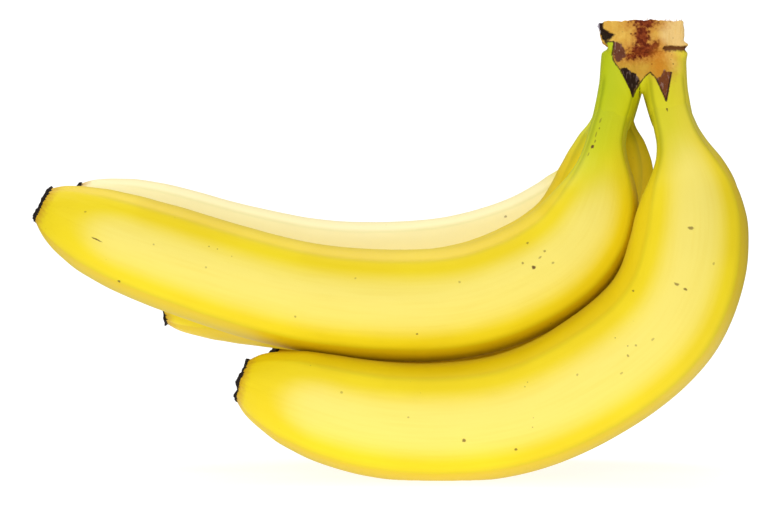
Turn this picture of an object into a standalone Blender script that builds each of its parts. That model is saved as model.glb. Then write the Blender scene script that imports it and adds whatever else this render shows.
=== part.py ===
"""A bunch of five bananas on one crown, lying on the backs of its two outer fingers.

The frame has +Z up, with the origin under the middle of the bunch on the surface it lies on. The bunch is
long in X: the crown is high at +X and the tips point to -X. The three fingers of the inner row lie side by
side in Y above the two of the outer row. The lengths below are in millimetres.
"""
from dataclasses import dataclass
import math

import bmesh
import bpy
import numpy as np

MM = 0.001
COLLECTION = "bunch_of_bananas"

GAP = 0.3            # clearance between a finger's root and the crown
ROOT_Z = 133.4       # height at which every finger leaves the crown
SIDES = 16           # points round a finger
RINGS_PER_SPAN = 2   # rings between two stations of the shared profile

# How wide a finger is along its length: share of its length from the root, share of its full width.
PROFILE = (
    (0.000, 0.335),
    (0.040, 0.322),
    (0.085, 0.325),
    (0.115, 0.350),
    (0.140, 0.440),
    (0.165, 0.600),
    (0.195, 0.785),
    (0.230, 0.905),
    (0.280, 0.970),
    (0.370, 1.000),
    (0.480, 1.000),
    (0.600, 0.980),
    (0.720, 0.955),
    (0.820, 0.915),
    (0.880, 0.865),
    (0.925, 0.790),
    (0.960, 0.665),
    (0.980, 0.550),
    (1.000, 0.400),
)
NECK_END = 0.165      # where the neck gives way to the body in this profile
PROFILE_BLUR = 0.010  # share of the length over which the profile is rounded off
BLUR_REACH = 2.0      # how many of those to each side the rounding reaches
BLUR_SAMPLES = 9

SPINE_SAMPLES = 600   # close points that measure a spine's length
TANGENT_REACH = 0.25  # distance to each side that gives the spine's direction

# The five ridges round a finger, in degrees: 0 faces the front (-Y), 90 the hollow of the bend.
RIDGES = (52.0, 128.0, 228.0, 272.0, 312.0)
# How far each facet would lie inside the round section if it spanned REGULAR_SPAN, the hollow's facet first.
FACET_DIPS = (0.025, 0.050, 0.050, 0.050, 0.050)
REGULAR_SPAN = 72.0
SPAN_POWER = 1.5      # a wider facet dips more
FACET_POWER = 1.4     # above 1 the ridges are rounded
RIDGED_FROM = 0.13    # the neck is round up to here, and ridged from RIDGED_FULL
RIDGED_FULL = 0.24
TIP_RIDGED_TO = 0.93  # towards the tip the ridges fade out again
TIP_ROUND_FROM = 0.99

SURFACE_Z = 0.0       # height of the surface that the bunch lies on
SAME_POINT = 1e-7     # closer than this, in metres, two points are one
SHARP_DEGREES = 50.0  # edges sharper than this stay sharp in the shading

PEEL_YELLOW = (0.83, 0.62, 0.02, 1.0)
PEEL_ROUGHNESS = 0.42
CROWN_TAN = (0.62, 0.36, 0.10, 1.0)
CROWN_ROUGHNESS = 0.75


@dataclass(frozen=True)
class Finger:
    """One banana: its full width, where its neck ends, the turn of its ridges and the line along its middle."""
    name: str
    width: float
    neck_end: float
    twist: float
    spine: tuple


FINGERS = (
    Finger("banana_front_upper", 35.6, 0.165, 0.0, (
        (74.6, 14.5, 133.1), (73.1, 12.5, 121.4), (69.6, 8.0, 108.5), (67.3, 3.0, 92.5),
        (58.0, 0.5, 74.9), (41.6, 0.0, 63.4), (24.3, 0.0, 57.6), (2.9, 0.0, 56.0),
        (-28.5, 0.0, 58.9), (-60.2, 0.0, 67.5), (-85.1, 0.0, 76.2), (-100.8, 0.5, 82.4),
        (-112.8, 1.0, 86.8))),
    Finger("banana_front_lower", 40.5, 0.175, -3.0, (
        (88.8, 14.5, 133.1), (90.0, 10.0, 121.5), (92.4, 2.5, 109.5), (95.4, -6.0, 92.5),
        (94.9, -10.5, 74.9), (86.3, -11.5, 52.8), (67.1, -10.5, 35.8), (38.5, -9.5, 21.6),
        (15.0, -9.0, 18.7), (-15.4, -8.5, 21.8), (-32.7, -7.0, 27.1), (-47.8, -5.0, 31.3))),
    Finger("banana_middle", 35.8, 0.120, 4.0, (
        (76.4, 33.0, 133.1), (74.4, 33.0, 122.0), (73.0, 33.0, 110.0), (70.6, 33.5, 96.5),
        (61.2, 34.0, 79.6), (43.6, 34.3, 66.6), (25.2, 34.3, 59.4), (3.3, 34.3, 56.0),
        (-29.8, 34.3, 55.6), (-58.0, 34.0, 56.0), (-75.8, 33.5, 53.0))),
    Finger("banana_back_upper", 34.8, 0.160, 2.0, (
        (77.6, 51.0, 133.1), (76.8, 54.0, 122.1), (74.4, 59.0, 111.0), (69.4, 64.5, 95.6),
        (59.4, 67.0, 81.6), (43.2, 68.0, 71.0), (26.0, 68.0, 65.8), (3.4, 67.5, 63.2),
        (-25.3, 67.5, 64.4), (-53.0, 67.5, 70.3), (-78.7, 67.5, 78.0), (-97.0, 67.0, 84.0),
        (-108.0, 66.5, 88.0))),
    Finger("banana_back_lower", 37.8, 0.150, -5.0, (
        (91.1, 40.0, 133.1), (92.5, 40.5, 121.9), (96.8, 42.0, 108.6), (100.6, 44.5, 91.9),
        (99.6, 46.5, 73.5), (89.2, 47.0, 50.0), (67.6, 47.0, 32.6), (40.0, 46.5, 20.2),
        (15.5, 46.0, 17.1), (-13.4, 45.5, 20.0), (-30.2, 44.5, 25.6), (-41.6, 43.0, 32.0))),
)

# The crown's outline seen from the front (X, Z), from its upper left corner and clockwise.
CROWN_UNDERSIDE = ROOT_Z + GAP
CROWN_OUTLINE = (
    (67.7, 146.3), (81.0, 146.6), (94.4, 146.3), (94.9, 138.5), (96.2, 135.6),
    (95.0, CROWN_UNDERSIDE), (81.0, CROWN_UNDERSIDE), (68.0, CROWN_UNDERSIDE),
    (69.6, 138.6), (66.8, 141.2), (66.9, 144.0),
)
# Its sections from front to back: Y, how far they lie to the right, how far the sides swell and the top sags.
CROWN_SECTIONS = (
    (7.5, 0.0, 0.0, 0.0),
    (16.0, 0.8, 0.2, 1.6),
    (25.0, 1.5, 0.4, 2.8),
    (34.0, 2.2, 0.4, 3.4),
    (43.0, 2.8, 0.3, 3.4),
    (51.0, 3.4, 0.0, 3.0),
    (58.5, 3.6, -1.2, 2.6),
)
CROWN_EDGE = 0.6      # rounding of the crown's edges
CROWN_EDGE_STEPS = 2


def clear_scene():
    """Remove every object that the scene starts with."""
    for item in list(bpy.data.objects):
        bpy.data.objects.remove(item, do_unlink=True)


def principled(name, colour, roughness):
    """A Principled material of one colour."""
    material = bpy.data.materials.new(name)
    material.use_nodes = True
    shader = material.node_tree.nodes["Principled BSDF"]
    shader.inputs["Base Color"].default_value = colour
    shader.inputs["Roughness"].default_value = roughness
    shader.inputs["Metallic"].default_value = 0.0
    return material


def cubic_through(knots, values, where):
    """Natural cubic spline through values (one row for each knot), read at the places in where."""
    knots = np.asarray(knots, float)
    values = np.asarray(values, float)
    step = np.diff(knots)
    count = len(knots)
    system = np.eye(count)
    right = np.zeros((count, values.shape[1]))
    for i in range(1, count - 1):
        system[i, i - 1:i + 2] = step[i - 1], 2.0 * (step[i - 1] + step[i]), step[i]
        right[i] = 6.0 * ((values[i + 1] - values[i]) / step[i] - (values[i] - values[i - 1]) / step[i - 1])
    bend = np.linalg.solve(system, right)
    span = np.clip(np.searchsorted(knots, where) - 1, 0, count - 2)
    length = step[span][:, None]
    ahead = (knots[span + 1] - where)[:, None]
    behind = (where - knots[span])[:, None]
    curve = (bend[span] * ahead ** 3 + bend[span + 1] * behind ** 3) / (6.0 * length)
    line = (values[span] / length - bend[span] * length / 6.0) * ahead
    return curve + line + (values[span + 1] / length - bend[span + 1] * length / 6.0) * behind


def smooth_spine(points, shares):
    """Points and unit directions on the smooth line through points, at shares of its length."""
    points = np.asarray(points, float)
    chords = np.linalg.norm(np.diff(points, axis=0), axis=1)
    knots = np.concatenate(([0.0], np.cumsum(chords)))
    dense_at = np.linspace(0.0, knots[-1], SPINE_SAMPLES)
    dense = cubic_through(knots, points, dense_at)
    lengths = np.concatenate(([0.0], np.cumsum(np.linalg.norm(np.diff(dense, axis=0), axis=1))))
    places = np.interp(np.asarray(shares) * lengths[-1], lengths, dense_at)
    centres = cubic_through(knots, points, places)
    ahead = cubic_through(knots, points, np.minimum(places + TANGENT_REACH, knots[-1]))
    behind = cubic_through(knots, points, np.maximum(places - TANGENT_REACH, 0.0))
    along = ahead - behind
    return centres, along / np.linalg.norm(along, axis=1)[:, None]


def width_share(shares, neck_end):
    """A finger's width, as a share of its full width, at shares of its length.

    The shared profile is stretched so that its neck ends at neck_end, then rounded off by a weighted mean.
    """
    stations, widths = np.array(PROFILE).T
    shares = np.interp(shares, (0.0, neck_end, 1.0), (0.0, NECK_END, 1.0))
    offsets = np.linspace(-BLUR_REACH, BLUR_REACH, BLUR_SAMPLES)
    weights = np.exp(-offsets ** 2)
    weights /= weights.sum()
    total = np.zeros(len(shares))
    for offset, weight in zip(offsets, weights):
        total += weight * np.interp(shares + offset * PROFILE_BLUR, stations, widths)
    return total


def smoothstep(low, high, value):
    """0 below low, 1 above high, and a smooth rise between them."""
    share = np.clip((value - low) / (high - low), 0.0, 1.0)
    return share * share * (3.0 - 2.0 * share)


def ridged_radius(angles):
    """Radius of the five-ridged section of width 2 at angles in degrees."""
    radius = np.ones(len(angles))
    ends = RIDGES[1:] + (RIDGES[0] + 360.0,)
    for start, end, facet_dip in zip(RIDGES, ends, FACET_DIPS):
        share = ((angles - start) % 360.0) / (end - start)
        depth = facet_dip * ((end - start) / REGULAR_SPAN) ** SPAN_POWER
        dip = depth * np.sin(math.pi * np.clip(share, 0.0, 1.0)) ** FACET_POWER
        radius -= np.where(share < 1.0, dip, 0.0)
    heights = radius * np.sin(np.radians(angles))
    return radius * 2.0 / (heights.max() - heights.min())


def finger_rings(finger):
    """The closed rings of points round a finger, from its root to its tip."""
    stations = np.array(PROFILE)[:, 0]
    count = RINGS_PER_SPAN * (len(stations) - 1) + 1
    shares = np.interp(np.linspace(0, len(stations) - 1, count), range(len(stations)), stations)
    shares = np.interp(shares, (0.0, NECK_END, 1.0), (0.0, finger.neck_end, 1.0))
    centres, along = smooth_spine(finger.spine, shares)
    half = 0.5 * finger.width * width_share(shares, finger.neck_end)
    ridged = smoothstep(RIDGED_FROM, RIDGED_FULL, shares) - smoothstep(TIP_RIDGED_TO, TIP_ROUND_FROM, shares)
    angles = np.arange(SIDES) * 360.0 / SIDES
    outline = ridged_radius(angles)
    turned = np.radians(angles + finger.twist)
    rings = []
    for centre, direction, size, blend in zip(centres, along, half, ridged):
        front = np.array([0.0, -1.0, 0.0])
        front -= front.dot(direction) * direction
        front /= np.linalg.norm(front)
        hollow = np.cross(direction, front)
        radius = size * (1.0 + blend * (outline - 1.0))
        ring = centre + np.outer(radius * np.cos(turned), front) + np.outer(radius * np.sin(turned), hollow)
        rings.append(ring)
    rings[0][:, 2] = ROOT_Z
    return rings


def crown_rings():
    """The crown's closed rings from front to back: its outline, swollen and sagging towards the middle."""
    outline = np.array(CROWN_OUTLINE)
    middle = 0.5 * (outline[:, 0].min() + outline[:, 0].max())
    height = (outline[:, 1] - CROWN_UNDERSIDE) / (outline[:, 1].max() - CROWN_UNDERSIDE)
    rings = []
    for depth, shift, swell, sag in CROWN_SECTIONS:
        x = outline[:, 0] + shift + swell * np.sign(outline[:, 0] - middle)
        z = outline[:, 1] - sag * height
        rings.append(np.stack([x, np.full(len(x), depth), z], axis=1))
    return rings


def loft(name, rings, collection):
    """A closed body through rings of equally many points, with a flat cap at each end.

    The sections are unlike each other, round at the neck, five-ridged in the body and blunt at the tip, so
    the faces between them are made here and not by a tool for sweeps.
    """
    mesh = bpy.data.meshes.new(name)
    body = bmesh.new()
    rows = []
    for ring in rings:
        rows.append([body.verts.new(point * MM) for point in ring])
    sides = len(rows[0])
    for near, far in zip(rows, rows[1:]):
        for i in range(sides):
            j = (i + 1) % sides
            body.faces.new((near[i], near[j], far[j], far[i]))
    body.faces.new(rows[0][::-1])
    body.faces.new(rows[-1])
    bmesh.ops.recalc_face_normals(body, faces=body.faces)
    body.to_mesh(mesh)
    body.free()
    item = bpy.data.objects.new(name, mesh)
    collection.objects.link(item)
    return item


def flatten_underneath(item, height):
    """Cut off what reaches below a height in the item's own frame, and close the cut with one flat face."""
    body = bmesh.new()
    body.from_mesh(item.data)
    everything = list(body.verts) + list(body.edges) + list(body.faces)
    cut = bmesh.ops.bisect_plane(body, geom=everything, plane_co=(0.0, 0.0, height), plane_no=(0.0, 0.0, -1.0),
                                 clear_outer=True, dist=SAME_POINT)
    rim = [part for part in cut["geom_cut"] if isinstance(part, bmesh.types.BMEdge)]
    if rim:
        bmesh.ops.edgeloop_fill(body, edges=rim)
        bmesh.ops.recalc_face_normals(body, faces=body.faces)
    body.to_mesh(item.data)
    body.free()


def shade_round(item, sharp_degrees):
    """Shade an object smooth, apart from edges sharper than an angle."""
    item.data.shade_smooth()
    item.data.set_sharp_from_angle(angle=math.radians(sharp_degrees))


def bounds(items):
    """Lowest and highest corner of some objects' meshes, in metres."""
    points = np.array([tuple(vertex.co) for item in items for vertex in item.data.vertices])
    return points.min(axis=0), points.max(axis=0)


def build():
    """Model the crown and the five fingers, and stand the bunch over the origin."""
    clear_scene()
    collection = bpy.data.collections.new(COLLECTION)
    bpy.context.scene.collection.children.link(collection)
    peel = principled("banana_peel", PEEL_YELLOW, PEEL_ROUGHNESS)
    cut = principled("crown_cut", CROWN_TAN, CROWN_ROUGHNESS)

    parts = []
    for finger in FINGERS:
        item = loft(finger.name, finger_rings(finger), collection)
        item.data.materials.append(peel)
        parts.append(item)
    crown = loft("crown", crown_rings(), collection)
    crown.data.materials.append(cut)
    rounding = crown.modifiers.new("worn_edges", "BEVEL")
    rounding.width = CROWN_EDGE * MM
    rounding.segments = CROWN_EDGE_STEPS
    rounding.limit_method = "ANGLE"
    parts.append(crown)

    for item in parts:
        flatten_underneath(item, SURFACE_Z)
        shade_round(item, SHARP_DEGREES)
    low, high = bounds(parts)
    stand = bpy.data.objects.new("bunch_origin", None)
    stand.location = (-0.5 * (low[0] + high[0]), -0.5 * (low[1] + high[1]), 0.0)
    collection.objects.link(stand)
    for item in parts:
        item.parent = stand


build()
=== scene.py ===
"""The look of a bunch of five ripe bananas on one crown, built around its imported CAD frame.

The bunch is drawn in millimetres in its own drawing frame: +Z up, the surface it lies on at Z = 0, the crown
high at +X and the tips towards -X, the front towards -Y. Seat moves the drawing to where the CAD nodes are.
"""

import logging
import math
from dataclasses import dataclass, field, replace
from enum import Enum

import bpy
import numpy as np
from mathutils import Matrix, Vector


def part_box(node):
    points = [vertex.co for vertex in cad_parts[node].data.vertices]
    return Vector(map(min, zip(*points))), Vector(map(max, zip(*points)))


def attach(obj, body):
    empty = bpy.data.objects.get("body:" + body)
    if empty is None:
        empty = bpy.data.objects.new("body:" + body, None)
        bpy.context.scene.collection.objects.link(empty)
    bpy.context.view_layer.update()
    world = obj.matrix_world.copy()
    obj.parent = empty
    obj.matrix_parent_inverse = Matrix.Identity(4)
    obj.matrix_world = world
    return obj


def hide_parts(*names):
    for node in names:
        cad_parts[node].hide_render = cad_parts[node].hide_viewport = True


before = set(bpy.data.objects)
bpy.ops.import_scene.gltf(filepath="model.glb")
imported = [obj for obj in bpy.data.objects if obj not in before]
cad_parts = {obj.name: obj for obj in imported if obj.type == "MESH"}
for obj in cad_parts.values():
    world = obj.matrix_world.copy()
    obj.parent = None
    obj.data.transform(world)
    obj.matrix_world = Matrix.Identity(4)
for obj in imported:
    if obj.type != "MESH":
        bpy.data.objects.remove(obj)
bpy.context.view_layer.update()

log = logging.getLogger("banana_bunch")

MM = 0.001
BODY = "root"

# Sockets of Blender's Mix node when it mixes colours.
MIX_FACTOR, MIX_A, MIX_B = 0, 6, 7

# How wide a finger is along its length: share of its length from the root, share of its full width.
PROFILE = (
    (0.000, 0.335), (0.040, 0.322), (0.085, 0.325), (0.115, 0.350), (0.140, 0.440),
    (0.165, 0.600), (0.195, 0.785), (0.230, 0.905), (0.280, 0.970), (0.370, 1.000),
    (0.480, 1.000), (0.600, 0.980), (0.720, 0.960), (0.820, 0.925), (0.880, 0.870),
    (0.925, 0.780), (0.960, 0.632), (0.980, 0.520), (0.992, 0.415), (1.0, 0.270),
)
NECK_END = 0.165
PROFILE_BLUR = 0.010

# The five ridges round a finger, in degrees: 0 faces the front, 90 the hollow of the bend.
RIDGES = (52.0, 128.0, 228.0, 272.0, 312.0)
REGULAR_SPAN = 72.0
# How far each facet would lie inside the round section if it spanned REGULAR_SPAN, the hollow's facet first.
FACET_DIPS = (0.028, 0.060, 0.055, 0.055, 0.060)
# How light each facet is painted: palest on the two broad flanks, as a painted sheen that is partly the wax's
# own paleness, and least along the outside of the bend, whose deeper colour is painted shade underneath.
FACET_SHEEN_AND_SHADE = (0.45, 1.0, 0.1, 0.0, 1.0)
# How far round the peel its strips of painted shade go, in degrees: they fade in between the first two edges
# and out between the last two. One lies under the finger, beside its lowest ridge, and one in the hollow of
# the bend.
UNDER_SHADE = (225.0, 250.0, 274.0, 306.0)
HOLLOW_SHADE = (62.0, 85.0, 100.0, 125.0)
# Degrees round a finger with painted light: the middle of the side painted pale, as lit from above and
# behind, and how far from that the painted paleness is full and ends.
LIT_ANGLE, LIT_FULL, LIT_END = 58.0, 60.0, 90.0

# Factors of the hash behind lattice_noise: for the axes, for the seed, and to spread the bits.
AXIS_PRIMES = (73856093, 19349663, 83492791)
SEED_PRIME, SPREAD_PRIME = 6542989, 1274126177


def smoothstep(low: float, high: float, value: np.ndarray) -> np.ndarray:
    """0 below low, 1 above high (or the other way round if high is the lower), with a smooth rise."""
    share = np.clip((value - low) / (high - low), 0.0, 1.0)
    return share * share * (3.0 - 2.0 * share)


def band(value: np.ndarray, edges: tuple[float, float, float, float]) -> np.ndarray:
    """1 between the two middle edges and 0 beyond the outer two, with smooth slopes."""
    return smoothstep(edges[0], edges[1], value) * smoothstep(edges[3], edges[2], value)


def lattice_noise(points: np.ndarray, size: float, seed: int) -> np.ndarray:
    """Smooth noise with one random value at each corner of a cubic lattice.

    Args:
        points: One row of three coordinates for each place.
        size: Edge of a lattice cell, in the same unit.
        seed: Picks one of many noises.

    Returns:
        A value from -1 to 1 for each place.
    """
    cell = np.asarray(points, float) / size
    base = np.floor(cell).astype(np.int64)
    part = cell - base
    part = part * part * (3.0 - 2.0 * part)
    total = np.zeros(len(cell))
    for corner in np.ndindex(2, 2, 2):
        place = (base + corner) & 0xFFFF
        mixed = np.full(len(cell), seed * SEED_PRIME, np.int64)
        for axis, prime in enumerate(AXIS_PRIMES):
            mixed ^= place[:, axis] * prime
        mixed &= 0xFFFFFFFF
        mixed = ((mixed ^ (mixed >> 13)) * SPREAD_PRIME) & 0xFFFFFFFF
        value = ((mixed ^ (mixed >> 16)) & 0xFFFF) / 32767.5 - 1.0
        weight = np.ones(len(cell))
        for axis, side in enumerate(corner):
            weight *= part[:, axis] if side else 1.0 - part[:, axis]
        total += value * weight
    return total


def linear(colour: str) -> tuple[float, float, float, float]:
    """Turn an sRGB hex colour into linear red, green, blue and an alpha of 1.

    Args:
        colour: Such as #F2C21B.

    Returns:
        Four numbers for a colour socket.
    """
    channels = [int(colour[start:start + 2], 16) / 255.0 for start in (1, 3, 5)]
    red, green, blue = (c / 12.92 if c <= 0.04045 else ((c + 0.055) / 1.055) ** 2.4 for c in channels)
    return red, green, blue, 1.0


def add_node(tree: bpy.types.NodeTree, kind: str, inputs: dict | None = None,
             **settings: object) -> bpy.types.Node:
    """Add a node with its settings and links.

    Args:
        tree: The node tree that it goes into.
        kind: The node's type, such as ShaderNodeMath.
        inputs: What each input, by name or number, is set or linked to: a value, a socket, or a node, which
            stands for its first output in use.
        **settings: The node's own settings, such as operation.

    Returns:
        The new node.
    """
    node = tree.nodes.new(kind)
    for key, value in settings.items():
        setattr(node, key, value)
    for key, value in (inputs or {}).items():
        if isinstance(value, bpy.types.Node):
            value = next(socket for socket in value.outputs if socket.enabled)
        if isinstance(value, bpy.types.NodeSocket):
            tree.links.new(value, node.inputs[key])
        else:
            node.inputs[key].default_value = value
    return node


def layered(tree: bpy.types.NodeTree, ground: object, layers: tuple[tuple, ...]) -> bpy.types.Node:
    """Lay colours over one another, as stains and skins lie on tissue.

    Args:
        tree: The node tree that they go into.
        ground: The lowest colour: an sRGB hex text, or a node or socket that gives one.
        layers: From the lowest up, how much each one covers, its colour, and how it blends if it isn't "MIX".

    Returns:
        The node that gives the finished colour.
    """
    top = linear(ground) if isinstance(ground, str) else ground
    for covers, colour, *blend in layers:
        colour = linear(colour) if isinstance(colour, str) else colour
        top = add_node(tree, "ShaderNodeMix", {MIX_FACTOR: covers, MIX_A: top, MIX_B: colour},
                       data_type="RGBA", blend_type=blend[0] if blend else "MIX")
    return top

def paint(mesh: bpy.types.Mesh, name: str, values: np.ndarray) -> None:
    """Store a number or a vector at each vertex, for the materials to read.

    Args:
        mesh: The mesh to paint.
        name: The attribute's name.
        values: One number or one row of three for each vertex.
    """
    flat = np.asarray(values, np.float32)
    kind, slot = ("FLOAT", "value") if flat.ndim == 1 else ("FLOAT_VECTOR", "vector")
    attribute = mesh.attributes.get(name) or mesh.attributes.new(name, kind, "POINT")
    attribute.data.foreach_set(slot, np.ascontiguousarray(flat).ravel())


def cubic_through(knots: np.ndarray, values: np.ndarray, where: np.ndarray) -> np.ndarray:
    """Natural cubic spline.

    Args:
        knots: Rising places.
        values: One row for each knot.
        where: Places to read the spline at.

    Returns:
        One row for each place in where.
    """
    step = np.diff(knots)
    count = len(knots)
    system = np.eye(count)
    right = np.zeros((count, values.shape[1]))
    for i in range(1, count - 1):
        system[i, i - 1:i + 2] = step[i - 1], 2.0 * (step[i - 1] + step[i]), step[i]
        right[i] = 6.0 * ((values[i + 1] - values[i]) / step[i] - (values[i] - values[i - 1]) / step[i - 1])
    bend = np.linalg.solve(system, right)
    span = np.clip(np.searchsorted(knots, where) - 1, 0, count - 2)
    length = step[span][:, None]
    ahead = (knots[span + 1] - where)[:, None]
    behind = (where - knots[span])[:, None]
    curve = (bend[span] * ahead ** 3 + bend[span + 1] * behind ** 3) / (6.0 * length)
    line = (values[span] / length - bend[span] * length / 6.0) * ahead
    return curve + line + (values[span + 1] / length - bend[span + 1] * length / 6.0) * behind


class Spine:
    """The smooth line along a finger's middle, read by the distance along it in millimetres."""

    def __init__(self, points: tuple[tuple[float, float, float], ...]) -> None:
        """Sample the line through points closely.

        Args:
            points: Places on the line from the root to the tip.
        """
        stations = np.asarray(points, float)
        knots = np.concatenate(([0.0], np.cumsum(np.linalg.norm(np.diff(stations, axis=0), axis=1))))
        dense = cubic_through(knots, stations, np.linspace(0.0, knots[-1], 1200))
        steps = np.linalg.norm(np.diff(dense, axis=0), axis=1)
        self.dense = dense
        self.along = np.concatenate(([0.0], np.cumsum(steps)))
        self.length = float(self.along[-1])
        self.start = (dense[1] - dense[0]) / steps[0]
        self.end = (dense[-1] - dense[-2]) / steps[-1]

    def centres(self, along: np.ndarray) -> np.ndarray:
        """Points on the line, which goes on straight beyond its two ends.

        Args:
            along: Distances along the line.

        Returns:
            One point for each distance.
        """
        along = np.asarray(along, float)
        inside = np.clip(along, 0.0, self.length)
        points = np.stack([np.interp(inside, self.along, self.dense[:, axis]) for axis in range(3)], axis=1)
        points += np.minimum(along, 0.0)[:, None] * self.start
        return points + np.maximum(along - self.length, 0.0)[:, None] * self.end

    def axes(self, along: np.ndarray) -> tuple[np.ndarray, np.ndarray, np.ndarray]:
        """Unit vectors along the line, towards the front and towards the hollow of the bend.

        Args:
            along: Distances along the line.

        Returns:
            Three arrays with one row for each distance.
        """
        reach = 1.5
        direction = self.centres(np.asarray(along) + reach) - self.centres(np.asarray(along) - reach)
        direction /= np.linalg.norm(direction, axis=1)[:, None]
        front = np.array([0.0, -1.0, 0.0]) + direction[:, 1:2] * direction
        front /= np.linalg.norm(front, axis=1)[:, None]
        return direction, front, np.cross(direction, front)


@dataclass(frozen=True)
class Mark:
    """A small scar or freckle on the peel, placed on the finger as if it were straight."""
    along: float
    angle: float
    length: float
    width: float
    strength: float = 0.85


class Row(Enum):
    """The row of the bunch that a finger grew in, with how green its neck still is."""
    INNER = 0.80
    OUTER = 0.38

    def neck_finish(self) -> tuple[float, float]:
        """How bright the neck's skin is and how much painted sheen it gets: the greener, the less."""
        return 1.0 - 0.6 * self.value, max(0.0, 0.95 - self.value)


@dataclass(frozen=True)
class FieldMark:
    """A round or long patch on the crown's front, from the crown's upper left corner, in millimetres."""
    right: float
    down: float
    half_width: float
    half_height: float

    def depth(self, right: np.ndarray, down: np.ndarray) -> np.ndarray:
        """How deep inside the patch each place lies, negative outside it, in millimetres."""
        spread = np.hypot((right - self.right) / self.half_width, (down - self.down) / self.half_height)
        return (1.0 - spread) * min(self.half_width, self.half_height)


def polygon_depth(right: np.ndarray, down: np.ndarray,
                  corners: tuple[tuple[float, float], ...]) -> np.ndarray:
    """How deep inside a polygon each place lies.

    Args:
        right: First coordinate of each place.
        down: Second coordinate of each place.
        corners: The polygon's corners in order.

    Returns:
        The distance to its outline, negative outside it.
    """
    nearest = np.full(len(right), np.inf)
    inside = np.zeros(len(right), bool)
    for (x0, y0), (x1, y1) in zip(corners, corners[1:] + corners[:1]):
        dx, dy = x1 - x0, y1 - y0
        share = np.clip(((right - x0) * dx + (down - y0) * dy) / (dx * dx + dy * dy), 0.0, 1.0)
        nearest = np.minimum(nearest, np.hypot(right - x0 - share * dx, down - y0 - share * dy))
        if y0 != y1:
            crosses = (y0 > down) != (y1 > down)
            inside ^= crosses & (right < x0 + (down - y0) * dx / dy)
    return np.where(inside, nearest, -nearest)


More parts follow.
